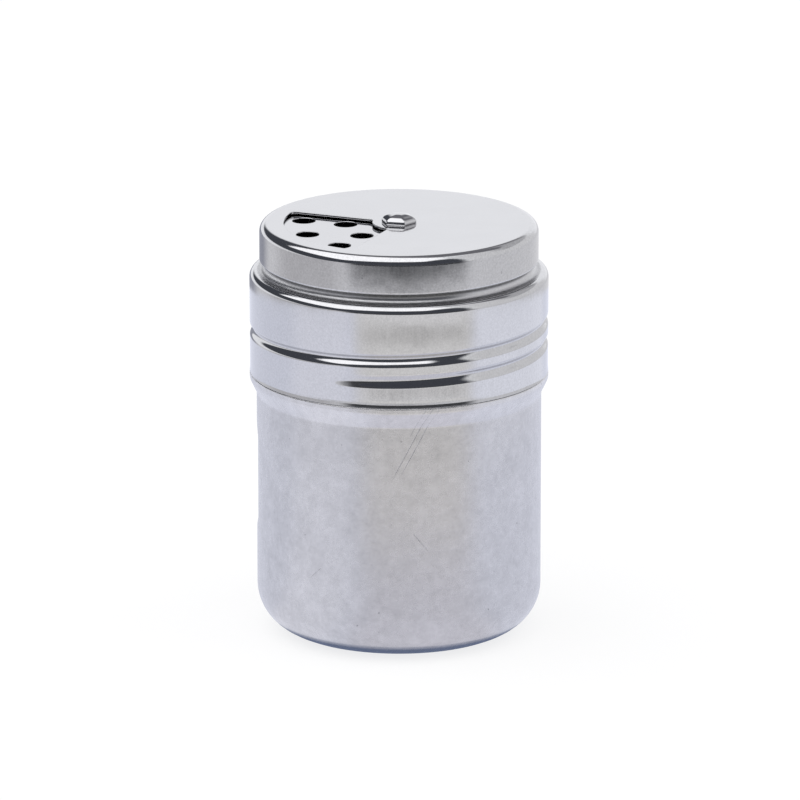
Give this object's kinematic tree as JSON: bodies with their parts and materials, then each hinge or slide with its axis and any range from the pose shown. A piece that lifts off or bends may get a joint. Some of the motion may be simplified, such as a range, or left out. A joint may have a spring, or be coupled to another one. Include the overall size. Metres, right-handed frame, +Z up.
{
  "type": "spice shaker",
  "caption": "Steel spice shaker: a round cup, a screw lid with a perforated top and a flat dial cap that turns on a rivet to uncover the holes.",
  "frame": {"origin": "middle of the base, at the level of the ring that the cup stands on", "axes": "+Z up along the axis of cup and lid; the picture looks along +Y with +X to its right; the five holes point 200.5 degrees and the dial's window 203.1 degrees round from +X towards +Y"},
  "size_m": [0.065, 0.065, 0.0929],
  "materials": {
    "steel_cup": "satin stainless steel, fine brushing round the cup, light smudges and scratches",
    "steel_lid": "satin stainless steel, fine brushing round the lid",
    "steel_dial": "polished satin stainless steel, a little glossier than the cup",
    "steel_rivet": "bright stainless steel, six-sided head with a domed top",
    "seal_silicone": "matt milky silicone",
    "spacer_plastic": "matt natural plastic"
  },
  "bodies": {
    "cup": {"cup": "steel_cup"},
    "seal": {"lid_seal": "seal_silicone"},
    "lid": {"screw_lid": "steel_lid", "dial_spacer": "spacer_plastic", "pivot_rivet": "steel_rivet", "rivet_washer": "steel_rivet"},
    "dial": {"dial_cap": "steel_dial"}
  },
  "joints": [
    {"name": "lid_lift", "type": "slide", "parent": "cup", "child": "seal", "axis": [0, 0, 1], "range_m": [0, 0.0054]},
    {"name": "lid_turn", "type": "hinge", "parent": "seal", "child": "lid", "pos_m": [0, 0, 0.08], "axis": [0, 0, 1], "range_deg": [0, 410]},
    {"name": "dial_turn", "type": "hinge", "parent": "lid", "child": "dial", "pos_m": [0, 0, 0.09075], "axis": [0, 0, 1], "continuous": true}
  ],
  "couplings": [
    {"joint": "lid_lift", "follows": "lid_turn", "m_per_rad": 0.00074803}
  ]
}
